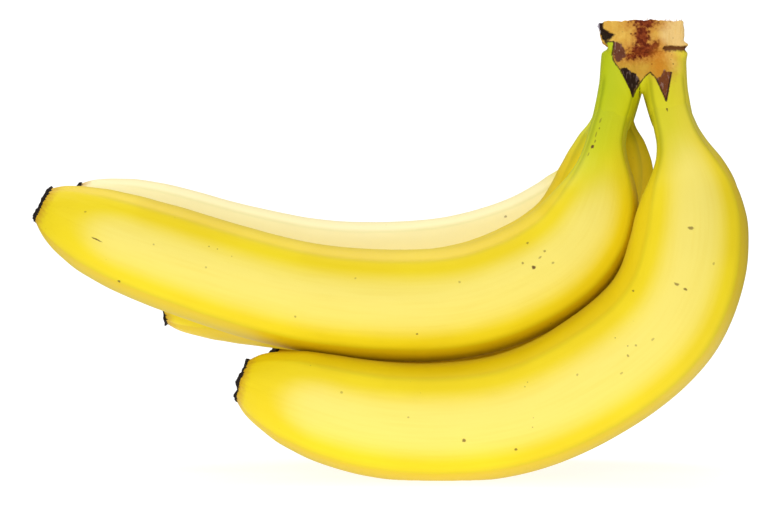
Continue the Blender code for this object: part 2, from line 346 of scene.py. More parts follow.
@dataclass(frozen=True)
class Peel:
    """Ripe banana peel: living skin under a thin waxy cuticle, grown in one piece.

    The wax gives broad, soft, whitish highlights, and the colour adds a painted sheen as paler middles on the
    broad flanks and the neck, partly the wax's own paleness. The colour is deeper and warmer along the
    ridges, partly as painted shade, deeper along the outside of the bend and darker in strips under the
    finger and in the hollow of the bend as painted shade, green at the neck where it ripens last, and corky
    black-brown at the tip where the flower dried. One finger's upper side is painted pale as painted light.
    """
    golden: str = "#F6DD14"
    deep: str = "#E9C902"
    sheen_and_bloom: str = "#FBEA7C"
    green: str = "#B6C80E"
    olive: str = "#DEDA0E"
    # Multiplied in as painted shade under the finger, in the hollow of the bend and along the ridges.
    shade_and_ridge_tint: str = "#D2D6B0"
    # Painted light on one finger's upper side.
    painted_light_tint: str = "#FFF7CC"
    cork: str = "#1E1512"
    ochre: str = "#CF9A1C"
    freckle: str = "#66440A"
    cloud_mm: float = 34.0
    streak_mm: float = 1.3
    freckle_mm: float = 5.5
    crowd_mm: float = 21.0
    wobble_mm: float = 0.8
    grain_mm: float = 0.9
    wax_ior: float = 1.36
    roughness: float = 0.52

    def colour(self, tree: bpy.types.NodeTree, seed: float) -> bpy.types.NodeSocket:
        """Add the nodes of the peel's living colour.

        Args:
            tree: The material's node tree.
            seed: Moves the patterns, so that no two fingers are alike.

        Returns:
            The colour socket.
        """
        read = {name: add_node(tree, "ShaderNodeAttribute", attribute_name=name)
                for name in ("straight", "facet", "tone", "green", "painted_light", "shade_and_ridge_tint")}
        green = read["green"].outputs["Fac"]
        moved = add_node(tree, "ShaderNodeVectorMath",
                         {0: read["straight"].outputs["Vector"], 1: (seed, seed, seed)}, operation="ADD")
        place = add_node(tree, "ShaderNodeTexCoord").outputs["Object"]
        clouds = add_node(tree, "ShaderNodeTexNoise",
                          {"Vector": place, "Scale": 1.0 / (self.cloud_mm * MM), "Detail": 3.0})
        stretched = add_node(tree, "ShaderNodeVectorMath", {0: moved, 1: (0.06, 1.0, 1.0)},
                             operation="MULTIPLY")
        streaks = add_node(tree, "ShaderNodeTexNoise",
                           {"Vector": stretched, "Scale": 1.0 / self.streak_mm, "Detail": 2.0})
        patch = add_node(tree, "ShaderNodeMapRange", {0: clouds, 1: 0.36, 2: 0.66},
                         interpolation_type="SMOOTHSTEP")
        # Painted shade: facets of low tone, along the outside of the bend, keep more of the deeper colour.
        warmth = add_node(tree, "ShaderNodeMath", {0: patch, 1: -0.35, 2: read["tone"].outputs["Fac"]},
                          operation="MULTIPLY_ADD", use_clamp=True)
        # Painted sheen: the middles of the broad flanks and the neck are painted paler, partly the wax's own
        # paleness.
        painted_sheen = add_node(tree, "ShaderNodeMapRange",
                         {0: read["facet"].outputs["Fac"], 1: 0.30, 2: 1.0, 4: 0.80},
                         interpolation_type="SMOOTHSTEP")
        lines = add_node(tree, "ShaderNodeMapRange", {0: streaks, 1: 0.45, 2: 0.75, 4: 0.13})
        uneven = add_node(tree, "ShaderNodeMath", {0: clouds, 1: 0.8, 2: -0.4}, operation="MULTIPLY_ADD")
        mixed = add_node(tree, "ShaderNodeMath", {0: uneven, 1: green, 2: green}, operation="MULTIPLY_ADD",
                         use_clamp=True)
        yellowing = add_node(tree, "ShaderNodeMapRange", {0: mixed, 2: 0.55},
                             interpolation_type="SMOOTHSTEP")
        greening = add_node(tree, "ShaderNodeMapRange", {0: mixed, 1: 0.25},
                            interpolation_type="SMOOTHSTEP")
        # Of these layers, the paler facet middles are a painted sheen, the pale wash is painted light and the
        # last, multiplied layer is painted shade.
        skin = layered(tree, self.deep, (
            (warmth, self.golden), (painted_sheen, self.sheen_and_bloom), (lines, self.deep),
            (read["painted_light"].outputs["Fac"], self.painted_light_tint), (yellowing, self.olive), (greening, self.green),
            (read["shade_and_ridge_tint"].outputs["Fac"], self.shade_and_ridge_tint, "MULTIPLY")))
        return skin.outputs[2]

    def freckles(self, tree: bpy.types.NodeTree, seed: float, marks: tuple[Mark, ...],
                 girth: float) -> bpy.types.NodeSocket:
        """Add the nodes of the sugar spots and scars.

        Args:
            tree: The material's node tree.
            seed: Moves the patterns.
            marks: Scars at known places.
            girth: The finger's radius where its body is full, in millimetres.

        Returns:
            The socket with how brown each place is.
        """
        straight = add_node(tree, "ShaderNodeAttribute", attribute_name="straight").outputs["Vector"]
        moved = add_node(tree, "ShaderNodeVectorMath", {0: straight, 1: (seed, -seed, seed)}, operation="ADD")
        cells = add_node(tree, "ShaderNodeTexVoronoi", {"Vector": moved, "Scale": 1.0 / self.freckle_mm})
        dots = add_node(tree, "ShaderNodeMapRange", {0: cells, 1: 0.060, 2: 0.030},
                        interpolation_type="SMOOTHSTEP")
        crowding = add_node(tree, "ShaderNodeTexNoise",
                            {"Vector": moved, "Scale": 1.0 / self.crowd_mm, "Detail": 1.0})
        where = add_node(tree, "ShaderNodeMapRange", {0: crowding, 1: 0.54, 2: 0.64, 4: 0.55})
        brown = add_node(tree, "ShaderNodeMath", {0: dots, 1: where}, operation="MULTIPLY")
        wobble = add_node(tree, "ShaderNodeTexNoise", {"Vector": straight, "Scale": 0.8, "Detail": 2.0})
        shaken = add_node(tree, "ShaderNodeVectorMath",
                          {0: wobble.outputs["Color"], 1: (self.wobble_mm,) * 3, 2: straight},
                          operation="MULTIPLY_ADD")
        # The noise that shakes the marks' outlines is 0.5 on average, so their centres move along with it.
        average = 0.5 * self.wobble_mm
        for mark in marks:
            angle = math.radians(mark.angle)
            ring = (girth * math.cos(angle) + average, girth * math.sin(angle) + average)
            centre = (mark.along + average, *ring)
            away = add_node(tree, "ShaderNodeVectorMath", {0: shaken, 1: centre}, operation="SUBTRACT")
            scaled = add_node(tree, "ShaderNodeVectorMath",
                              {0: away, 1: (2.0 / mark.length, 2.0 / mark.width, 2.0 / mark.width)},
                              operation="MULTIPLY")
            spread = add_node(tree, "ShaderNodeVectorMath", {0: scaled}, operation="LENGTH")
            spot = add_node(tree, "ShaderNodeMapRange", {0: spread.outputs["Value"], 1: 1.15, 2: 0.55,
                                                         4: mark.strength}, interpolation_type="SMOOTHSTEP")
            brown = add_node(tree, "ShaderNodeMath", {0: brown, 1: spot}, operation="MAXIMUM")
        return brown.outputs[0]

    def material(self, name: str, seed: float, marks: tuple[Mark, ...], girth: float) -> bpy.types.Material:
        """The whole peel of one finger.

        Args:
            name: The material's name.
            seed: Moves the patterns.
            marks: The finger's own scars.
            girth: The finger's radius where its body is full, in millimetres.

        Returns:
            The material.
        """
        material = bpy.data.materials.new(name)
        material.use_nodes = True
        tree = material.node_tree
        shader = tree.nodes["Principled BSDF"]
        straight = add_node(tree, "ShaderNodeAttribute", attribute_name="straight").outputs["Vector"]
        tip = add_node(tree, "ShaderNodeAttribute", attribute_name="tip").outputs["Fac"]
        living = self.colour(tree, seed)
        brown = self.freckles(tree, seed, marks, girth)
        ragged = add_node(tree, "ShaderNodeTexNoise", {"Vector": straight, "Scale": 0.55, "Detail": 3.0})
        edge = add_node(tree, "ShaderNodeMath", {0: ragged, 1: 3.2, 2: tip}, operation="MULTIPLY_ADD")
        drying = add_node(tree, "ShaderNodeMapRange", {0: edge, 1: 5.2, 2: 1.4, 4: 0.75},
                          interpolation_type="SMOOTHSTEP")
        corky = add_node(tree, "ShaderNodeMapRange", {0: edge, 1: 1.9, 2: 1.4},
                         interpolation_type="SMOOTHSTEP")
        finished = layered(tree, living,
                           ((brown, self.freckle), (drying, self.ochre), (corky, self.cork)))
        tree.links.new(finished.outputs[2], shader.inputs["Base Color"])

        # The cuticle's own grain is under 0.1 mm, so it is drawn about ten times as coarse to show at all.
        grain = add_node(tree, "ShaderNodeTexNoise", {"Vector": straight, "Scale": 1.0 / self.grain_mm,
                                                      "Detail": 3.0})
        matt = add_node(tree, "ShaderNodeMath", {0: grain, 1: 0.16, 2: self.roughness - 0.08},
                        operation="MULTIPLY_ADD")
        rough = add_node(tree, "ShaderNodeMix", {MIX_FACTOR: corky, 2: matt, 3: 0.9})
        tree.links.new(rough.outputs[0], shader.inputs["Roughness"])
        raised = add_node(tree, "ShaderNodeMath", {0: brown, 1: -0.6, 2: grain}, operation="MULTIPLY_ADD")
        bump = add_node(tree, "ShaderNodeBump", {"Height": raised, "Strength": 0.28, "Distance": 0.12 * MM})
        tree.links.new(bump.outputs[0], shader.inputs["Normal"])
        shader.inputs["IOR"].default_value = self.wax_ior
        return material


@dataclass(frozen=True)
class CrownFlesh:
    """The crown: woody stem tissue, cut with a knife and torn, then dried and bruised in the air.

    The cut gives the eye tan fibre with a matt face. Bruises oxidise to red-brown and tears dry almost black.
    The skin of the necks runs up into it with a thin dark edge. The groove across the cut and the notch at
    its left are painted dark as painted shade in those recesses; the pale rim at its left edge is a painted
    highlight, and its pale hairs are partly their own colour and partly painted sheen.
    """
    tan: str = "#F3C55C"
    tan_deep: str = "#E4AF48"
    low_gold: str = "#CFA032"
    pale: str = "#F6CF84"
    orange: str = "#D6871F"
    rust: str = "#93421A"
    rust_dark: str = "#642006"
    halo: str = "#BC6A22"
    scar: str = "#70402E"
    # Pale hairs of fibre: partly their own colour, partly painted sheen.
    hair_and_sheen: str = "#B49890"
    torn: str = "#2A180E"
    torn_warm: str = "#7A421F"
    # Painted shade in the groove and the notch, where the colour is warm.
    cleft_shade: str = "#6B3F18"
    edge: str = "#33200F"
    # A painted highlight: pale lavender grey along the crown's left edge.
    rim: str = "#CFC7D8"
    fibre_mm: float = 0.55
    mottle_mm: float = 2.6
    ragged_mm: float = 0.9
    speck_mm: float = 3.1
    roughness: float = 0.9

    def material(self, name: str, peel: Peel) -> bpy.types.Material:
        """The crown's material, with the peel's own colour where the skin of the necks runs up into it.

        Args:
            name: The material's name.
            peel: The finish of the fingers.

        Returns:
            The material.
        """
        material = bpy.data.materials.new(name)
        material.use_nodes = True
        tree = material.node_tree
        shader = tree.nodes["Principled BSDF"]
        place = add_node(tree, "ShaderNodeTexCoord").outputs["Object"]
        spot = add_node(tree, "ShaderNodeVectorMath", {0: place, "Scale": 1.0 / MM}, operation="SCALE")
        ragged = add_node(tree, "ShaderNodeTexNoise",
                          {"Vector": spot, "Scale": 1.0 / self.ragged_mm, "Detail": 4.0})
        mottle = add_node(tree, "ShaderNodeTexNoise",
                          {"Vector": spot, "Scale": 1.0 / self.mottle_mm, "Detail": 4.0})
        upright = add_node(tree, "ShaderNodeVectorMath", {0: spot, 1: (1.0, 1.0, 0.09)}, operation="MULTIPLY")
        fibre = add_node(tree, "ShaderNodeTexNoise",
                         {"Vector": upright, "Scale": 1.0 / self.fibre_mm, "Detail": 3.0})

        def reach(field_name: str, spread: float, soft: float, most: float = 1.0) -> bpy.types.Node:
            """How much of a painted patch shows.

            Args:
                field_name: The patch.
                spread: How far its edge wanders, in millimetres.
                soft: How far its edge fades to each side, in millimetres.
                most: How much of it shows well inside.

            Returns:
                The node that gives it, from 0 to most.
            """
            depth = add_node(tree, "ShaderNodeAttribute", attribute_name=field_name).outputs["Fac"]
            shift = add_node(tree, "ShaderNodeMath", {0: ragged, 1: spread, 2: -0.5 * spread},
                             operation="MULTIPLY_ADD")
            total = add_node(tree, "ShaderNodeMath", {0: shift, 1: depth}, operation="ADD")
            return add_node(tree, "ShaderNodeMapRange", {0: total, 1: -soft, 2: soft, 4: most},
                            interpolation_type="SMOOTHSTEP")

        cloudy = add_node(tree, "ShaderNodeMapRange", {0: mottle, 1: 0.38, 2: 0.64})
        lines = add_node(tree, "ShaderNodeMapRange", {0: fibre, 1: 0.50, 2: 0.74, 4: 0.42})
        hairs = add_node(tree, "ShaderNodeMapRange", {0: fibre, 1: 0.56, 2: 0.66, 4: 0.75})
        grey_hairs = add_node(tree, "ShaderNodeMath", {0: hairs, 1: 0.55}, operation="MULTIPLY")
        blotches = add_node(tree, "ShaderNodeMapRange", {0: ragged, 1: 0.40, 2: 0.62})
        cells = add_node(tree, "ShaderNodeTexVoronoi", {"Vector": spot, "Scale": 1.0 / self.speck_mm})
        specks = add_node(tree, "ShaderNodeMapRange", {0: cells, 1: 0.13, 2: 0.07, 4: 0.8})
        warm = add_node(tree, "ShaderNodeAttribute", attribute_name="warm").outputs["Fac"]
        border = add_node(tree, "ShaderNodeAttribute", attribute_name="border").outputs["Fac"]
        waved = add_node(tree, "ShaderNodeMath", {0: ragged, 1: 0.5, 2: border}, operation="MULTIPLY_ADD")
        drawn = add_node(tree, "ShaderNodeMapRange", {0: waved, 1: 0.62, 2: 0.36, 4: 0.9},
                         interpolation_type="SMOOTHSTEP")

        blotched = layered(tree, self.rust, ((blotches, self.rust_dark),))
        haired = layered(tree, self.scar, ((hairs, self.hair_and_sheen),))
        tissue = layered(tree, self.tan, (
            (cloudy, self.tan_deep), (reach("pale", 1.5, 1.6), self.pale),
            (reach("low", 4.5, 1.6, 0.8), self.low_gold), (lines, self.tan_deep),
            (reach("halo", 3.0, 1.5, 0.6), self.halo), (reach("rust", 3.4, 0.7), blotched),
            (reach("scar", 1.6, 0.35), haired), (specks, self.rust_dark),
            (reach("orange", 2.5, 2.4, 0.8), self.orange)))
        skin = layered(tree, peel.colour(tree, 3.0), ((reach("stain", 2.0, 2.4), tissue),))
        covered = reach("skin", 0.55, 0.16)
        opened = layered(tree, self.torn, ((warm, self.torn_warm), (grey_hairs, self.hair_and_sheen)))
        # Painted shade: the groove and the notch are dark inside, in the torn colour and a warm brown.
        split = layered(tree, self.torn, ((warm, self.cleft_shade),))
        # The rim layer is a painted highlight along the crown's left edge.
        surface = layered(tree, tissue, (
            (covered, skin), (reach("torn", 0.9, 0.22), opened), (drawn, self.edge),
            (reach("groove", 0.8, 0.35), split), (reach("rim", 0.5, 0.3), self.rim)))
        tree.links.new(surface.outputs[2], shader.inputs["Base Color"])

        rough = add_node(tree, "ShaderNodeMix",
                         {MIX_FACTOR: covered, 2: self.roughness, 3: peel.roughness + 0.06})
        tree.links.new(rough.outputs[0], shader.inputs["Roughness"])
        woody = add_node(tree, "ShaderNodeMath", {0: fibre, 1: ragged}, operation="ADD")
        height = add_node(tree, "ShaderNodeMix", {MIX_FACTOR: covered, 2: woody, 3: 1.0})
        bump = add_node(tree, "ShaderNodeBump", {"Height": height, "Strength": 0.55, "Distance": 0.35 * MM})
        tree.links.new(bump.outputs[0], shader.inputs["Normal"])
        shader.inputs["IOR"].default_value = 1.30
        return material


@dataclass(frozen=True)
class DryFibre:
    """Loose plant fibre pulled out by the cut: thin straw-coloured threads with no shine."""
    straw: str = "#D9A45C"
    burnt: str = "#8A4A20"
    roughness: float = 0.9

    def material(self, name: str) -> bpy.types.Material:
        """The fibres' material, darker here and there along each thread.

        Args:
            name: The material's name.

        Returns:
            The material.
        """
        material = bpy.data.materials.new(name)
        material.use_nodes = True
        tree = material.node_tree
        shader = tree.nodes["Principled BSDF"]
        place = add_node(tree, "ShaderNodeTexCoord").outputs["Object"]
        shade = add_node(tree, "ShaderNodeTexNoise", {"Vector": place, "Scale": 0.5 / MM, "Detail": 2.0})
        mixed = layered(tree, self.straw, ((shade, self.burnt),))
        tree.links.new(mixed.outputs[2], shader.inputs["Base Color"])
        rough = add_node(tree, "ShaderNodeMapRange", {0: shade, 3: self.roughness - 0.1, 4: self.roughness})
        tree.links.new(rough.outputs[0], shader.inputs["Roughness"])
        bump = add_node(tree, "ShaderNodeBump", {"Height": shade, "Strength": 0.3, "Distance": 0.05 * MM})
        tree.links.new(bump.outputs[0], shader.inputs["Normal"])
        return material


@dataclass(frozen=True)
class Seat:
    """Where the drawing stands in the row frame."""
    shift: tuple[float, float]

    @classmethod
    def on_frame(cls, fingers: tuple["Finger", ...]) -> "Seat":
        """Line the drawn fingers up with the middles of their CAD nodes.

        Args:
            fingers: The bunch's fingers.

        Returns:
            The seat.
        """
        gaps = []
        for finger in fingers:
            low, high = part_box(finger.node)
            drawn = np.concatenate(finger.body_rings(finger.neck_top, 2.0, 48))
            middle = 0.5 * (drawn.min(axis=0) + drawn.max(axis=0))
            gaps.append((0.5 * (low.x + high.x) / MM - middle[0], 0.5 * (low.y + high.y) / MM - middle[1]))
        shift = np.median(np.array(gaps), axis=0)
        log.info("drawing moved by %.2f, %.2f mm; fingers agree within %.2f mm", shift[0], shift[1],
                 float(np.abs(np.array(gaps) - shift).max()))
        return cls((float(shift[0]), float(shift[1])))

    @property
    def offset(self) -> np.ndarray:
        """The shift as a vector in millimetres."""
        return np.array([self.shift[0], self.shift[1], 0.0])

    def mesh(self, name: str, points: np.ndarray, faces: list[tuple[int, ...]]) -> bpy.types.Object:
        """Make a mesh object from points in the drawing.

        Args:
            name: The piece's name.
            points: Its vertices in millimetres.
            faces: Its faces as vertex numbers.

        Returns:
            The object, shaded smooth.
        """
        mesh = bpy.data.meshes.new(name)
        mesh.from_pydata(((points + self.offset) * MM).tolist(), [], faces)
        mesh.validate()
        mesh.shade_smooth()
        item = bpy.data.objects.new(name, mesh)
        bpy.context.scene.collection.objects.link(item)
        return item


def loft_faces(rings: int, sides: int, first: int = 0) -> list[tuple[int, ...]]:
    """Faces of a closed body through rings of equally many points.

    Args:
        rings: How many rings there are.
        sides: How many points each has.
        first: Number of the first vertex.

    Returns:
        The sides' quads and the two end faces.
    """
    faces = []
    for row in range(rings - 1):
        for i in range(sides):
            j = (i + 1) % sides
            near, far = first + row * sides, first + (row + 1) * sides
            faces.append((near + i, near + j, far + j, far + i))
    faces.append(tuple(first + i for i in reversed(range(sides))))
    faces.append(tuple(first + (rings - 1) * sides + i for i in range(sides)))
    return faces


@dataclass(frozen=True)
class Finger:
    """One banana with its neck, peel and dry tip. Lengths in millimetres, angles in degrees."""
    node: str
    width: float
    neck_end: float
    twist: float
    row: Row
    seed: int
    points: tuple[tuple[float, float, float], ...]
    marks: tuple[Mark, ...] = ()
    painted_light: float = 0.0
    neck_top: float = 14.5
    facet_power: float = 1.12
    neck_ribs: float = 2.2
    cap_height: float = 1.0
    blunt_end: float = 8.0
    floor_gap: float = 0.02
    sides: int = 120
    ring_pitch: float = 0.8
    spine: Spine = field(init=False)

    def __post_init__(self) -> None:
        """Fit the spine once."""
        object.__setattr__(self, "spine", Spine(self.points))

    def half_width(self, along: np.ndarray) -> np.ndarray:
        """Half of the finger's width, ridges left out.

        Args:
            along: Distances along the finger.

        Returns:
            One half width for each distance.
        """
        stations, widths = np.array(PROFILE).T
        shares = np.interp(np.asarray(along) / self.spine.length,
                           (0.0, self.neck_end, 1.0), (0.0, NECK_END, 1.0))
        offsets = np.linspace(-2.0, 2.0, 9)
        weights = np.exp(-offsets ** 2)
        total = np.zeros(len(shares))
        for offset, weight in zip(offsets, weights / weights.sum()):
            total += weight * np.interp(shares + offset * PROFILE_BLUR, stations, widths)
        return 0.5 * self.width * total

    def facets(self, angles: np.ndarray) -> tuple[np.ndarray, np.ndarray, np.ndarray]:
        """The five-ridged section.

        Args:
            angles: Angles round the finger, without its twist.

        Returns:
            The radius of a section of half width 1, how far each place is into its facet, from 0 on a
            ridge to 1 in the facet's middle, and how light that facet is painted: high for painted sheen, low
            for painted shade.
        """
        radius = np.ones(len(angles))
        middle = np.zeros(len(angles))
        tone = np.zeros(len(angles))
        ends = RIDGES[1:] + (RIDGES[0] + 360.0,)
        for start, end, dip, pale in zip(RIDGES, ends, FACET_DIPS, FACET_SHEEN_AND_SHADE):
            share = ((angles - start) % 360.0) / (end - start)
            wave = np.where(share < 1.0, np.sin(math.pi * np.clip(share, 0.0, 1.0)), 0.0)
            radius -= dip * ((end - start) / REGULAR_SPAN) ** 1.5 * wave ** self.facet_power
            middle = np.maximum(middle, wave)
            tone[share < 1.0] = pale
        return radius, middle, tone

    def ridged(self, along: np.ndarray) -> np.ndarray:
        """How strongly the ridges show: as ribs on the neck, hardly at the tip.

        Args:
            along: Distances along the finger.

        Returns:
            A factor on the ridges' height for each distance.
        """
        share = np.asarray(along) / self.spine.length
        full = self.neck_ribs + (1.0 - self.neck_ribs) * smoothstep(0.10, 0.22, share)
        return full * (1.0 - 0.75 * smoothstep(0.93, 0.995, share))

    def radius(self, along: np.ndarray, angles: np.ndarray) -> np.ndarray:
        """Distance of the peel from the spine.

        Args:
            along: Distances along the finger.
            angles: An angle round the finger for each distance, without its twist.

        Returns:
            One radius for each pair.
        """
        outline = self.facets(angles)[0]
        turn = np.arange(0.0, 360.0, 3.0)
        heights = self.facets(turn)[0] * np.sin(np.radians(turn))
        outline = outline * 2.0 / (heights.max() - heights.min())
        blend = self.ridged(along)
        return self.half_width(along) * (1.0 + blend * (outline - 1.0))

    def body_rings(self, start: float, pitch: float, sides: int) -> list[np.ndarray]:
        """Rings of points on the peel, as far as the tip.

        Args:
            start: Where along the finger they begin.
            pitch: How far apart they are.
            sides: How many points each has.

        Returns:
            One array of points for each ring.
        """
        count = int((self.spine.length - start) / pitch) + 1
        places = np.linspace(start, self.spine.length, count)
        return self.rings_at(places, np.arange(sides) * 360.0 / sides, 0.0)

    def rings_at(self, places: np.ndarray, angles: np.ndarray,
                 proud: float | np.ndarray) -> list[np.ndarray]:
        """Rings of points round the finger.

        Args:
            places: Distances along the finger.
            angles: Angles of each ring's points, without the twist.
            proud: How far outside the peel they lie, one number or one for each place.

        Returns:
            One array of points for each place.
        """
        centres = self.spine.centres(places)
        _, fronts, hollows = self.spine.axes(places)
        out = np.broadcast_to(proud, places.shape)
        turned = np.radians(angles + self.twist)
        rings = []
        for place, centre, front, hollow, extra in zip(places, centres, fronts, hollows, out):
            radius = self.radius(np.full(len(angles), place), angles) + extra
            rings.append(centre + np.outer(radius * np.cos(turned), front)
                         + np.outer(radius * np.sin(turned), hollow))
        return rings

    def locate(self, points: np.ndarray, start: float,
               end: float) -> tuple[np.ndarray, np.ndarray, np.ndarray]:
        """Find where points near the finger lie on it.

        Args:
            points: Points of the drawing.
            start: Where along the finger to begin the search.
            end: Where to end it.

        Returns:
            The distance along the finger, the angle round it without its twist, and the distance from its
            spine.
        """
        places = np.arange(start, end, 0.5)
        centres = self.spine.centres(places)
        nearest = np.zeros(len(points), int)
        best = np.full(len(points), np.inf)
        for index, centre in enumerate(centres):
            gap = ((points - centre) ** 2).sum(axis=1)
            closer = gap < best
            best[closer] = gap[closer]
            nearest[closer] = index
        along = places[nearest]
        direction, front, hollow = self.spine.axes(along)
        away = points - centres[nearest]
        along = along + (away * direction).sum(axis=1)
        ahead, inward = (away * front).sum(axis=1), (away * hollow).sum(axis=1)
        return along, np.degrees(np.arctan2(inward, ahead)) - self.twist, np.hypot(ahead, inward)

    def paint_peel(self, mesh: bpy.types.Mesh, along: np.ndarray, angles: np.ndarray) -> None:
        """Paint what the peel's material reads.

        Args:
            mesh: The finger's mesh.
            along: How far along the finger each vertex lies.
            angles: Its angle round the finger, without the twist.
        """
        turned, girth = np.radians(angles), 0.5 * self.width
        paint(mesh, "straight", np.stack([along, girth * np.cos(turned), girth * np.sin(turned)], axis=1))
        share, round_to = along / self.spine.length, angles % 360.0
        _, middle, tone = self.facets(round_to)
        body = smoothstep(0.10, 0.24, share)
        neck_tone, neck_sheen = self.row.neck_finish()
        # Painted sheen on the flanks' middles and on the neck, fading near the tip.
        pale = middle * tone * body * (1.0 - 0.8 * smoothstep(0.88, 0.98, share))
        paint(mesh, "tone", tone * body + neck_tone * (1.0 - body))
        paint(mesh, "facet", pale + neck_sheen * (1.0 - body))
        # Painted shade: darker strips under the finger and in the hollow of its bend, and darker ridge lines
        # that are partly the ridges' own colour and partly painted shade at the edges; all fade out near the
        # tip.
        strong = smoothstep(self.spine.length - 2.0, self.spine.length - 26.0, along)
        on_neck = smoothstep(0.24, 0.12, share)
        ridge = (0.35 + 0.45 * on_neck) * smoothstep(0.16 + 0.2 * on_neck, 0.0, middle)
        under = 0.48 * band(round_to, UNDER_SHADE)
        inner = 0.30 * band(round_to, HOLLOW_SHADE) * (1.0 - self.painted_light)
        paint(mesh, "shade_and_ridge_tint", strong * np.maximum(ridge, np.maximum(under, inner)))
        # Painted light: one finger's upper side is painted pale, where strong light from above and behind
        # washes it out.
        from_lit_side = np.abs((angles - LIT_ANGLE + 180.0) % 360.0 - 180.0)
        lit_side = smoothstep(28.0, 62.0, along) * smoothstep(LIT_END, LIT_FULL, from_lit_side)
        paint(mesh, "painted_light", self.painted_light * lit_side)
        paint(mesh, "green", self.greenness(along, angles))

    def greenness(self, along: np.ndarray, angles: np.ndarray) -> np.ndarray:
        """How green the peel still is: most on the neck, and further down the side of the hollow.

        Args:
            along: Distances along the finger.
            angles: An angle round it for each distance, without its twist.

        Returns:
            From 0, ripe, to the row's own value.
        """
        reach = self.neck_end * self.spine.length
        hollow = 0.5 - 0.5 * np.cos(np.radians(angles - 270.0))
        fade = smoothstep(reach * (1.25 + 0.45 * hollow), reach * 0.45, along)
        return self.row.value * fade * (0.58 + 0.42 * hollow)

    def build(self, seat: Seat) -> bpy.types.Object:
        """Build the finger's mesh, with its puckered end and ragged dry cap.

        Args:
            seat: Where the drawing stands.

        Returns:
            The finger.
        """
        length = self.spine.length - self.cap_height
        body = np.arange(self.neck_top, length - self.blunt_end, self.ring_pitch)
        blunt = np.linspace(length - self.blunt_end, length, 22)
        cap_out = np.array([0.2, 0.5, 0.75, 0.85, 0.8, 0.6, 0.35, 0.1, 0.0, 0.1])
        cap_share = np.array([1.02, 1.03, 0.99, 0.92, 0.84, 0.74, 0.60, 0.44, 0.26, 0.08])
        places = np.concatenate([body, blunt, length + cap_out])
        angles = np.arange(self.sides) * 360.0 / self.sides
        grid_along = np.repeat(places, self.sides)
        grid_angle = np.tile(angles, len(places))
        on_peel = np.ones(len(body) + len(blunt))
        cap = np.repeat(np.concatenate([0.0 * on_peel, np.ones(len(cap_out))]), self.sides)
        shrink = np.repeat(np.concatenate([on_peel, cap_share]), self.sides)
        radius = self.radius(np.minimum(grid_along, length), grid_angle) * shrink

        turned = np.radians(grid_angle)
        unit = np.stack([grid_along, 17.0 * np.cos(turned), 17.0 * np.sin(turned)], axis=1)
        slow = unit * np.array([0.35, 1.0, 1.0])
        radius = (radius + 0.22 * lattice_noise(slow, 9.0, self.seed)
                  + 0.07 * lattice_noise(slow, 2.6, self.seed + 1))
        near_tip = smoothstep(length - 9.0, length, grid_along)
        rim = np.stack([np.cos(turned), np.sin(turned), np.zeros(len(turned))], axis=1)
        pucker = lattice_noise(rim * 6.0, 1.6, self.seed + 2)
        radius = radius * (1.0 + 0.045 * near_tip * pucker)
        on_end = rim * shrink[:, None] * 6.0
        rough = lattice_noise(on_end, 0.9, self.seed + 3)
        radius = radius * (1.0 + 0.07 * cap * rough)
        lumps = 0.40 * rough + 0.55 * lattice_noise(on_end, 2.2, self.seed + 4)
        grid_out = grid_along + cap * lumps * np.minimum(shrink, 1.0)
        centres = self.spine.centres(grid_out)
        _, fronts, hollows = self.spine.axes(grid_along)
        twisted = np.radians(grid_angle + self.twist)
        points = (centres + (radius * np.cos(twisted))[:, None] * fronts
                  + (radius * np.sin(twisted))[:, None] * hollows)
        points[:, 2] = np.maximum(points[:, 2], self.floor_gap)
        name = self.node.replace("banana", "fruit")
        item = seat.mesh(name, points, loft_faces(len(places), self.sides))
        self.paint_peel(item.data, grid_along, grid_angle)
        paint(item.data, "tip", length - grid_along - 3.0 * cap)
        return item

    def dress(self, item: bpy.types.Object, peel: Peel) -> None:
        """Give the finger its peel, attach it to the bunch's body and hide its CAD node.

        Args:
            item: The finger's object.
            peel: The finish.
        """
        girth = 0.5 * self.width
        marks = []
        for mark in self.marks:
            radius = self.radius(np.array([mark.along]), np.array([mark.angle]))[0]
            marks.append(replace(mark, width=mark.width * girth / float(radius)))
        material = peel.material(self.node + "_peel", 31.0 * self.seed, tuple(marks), girth)
        item.data.materials.append(material)
        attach(item, BODY)
        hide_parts(self.node)


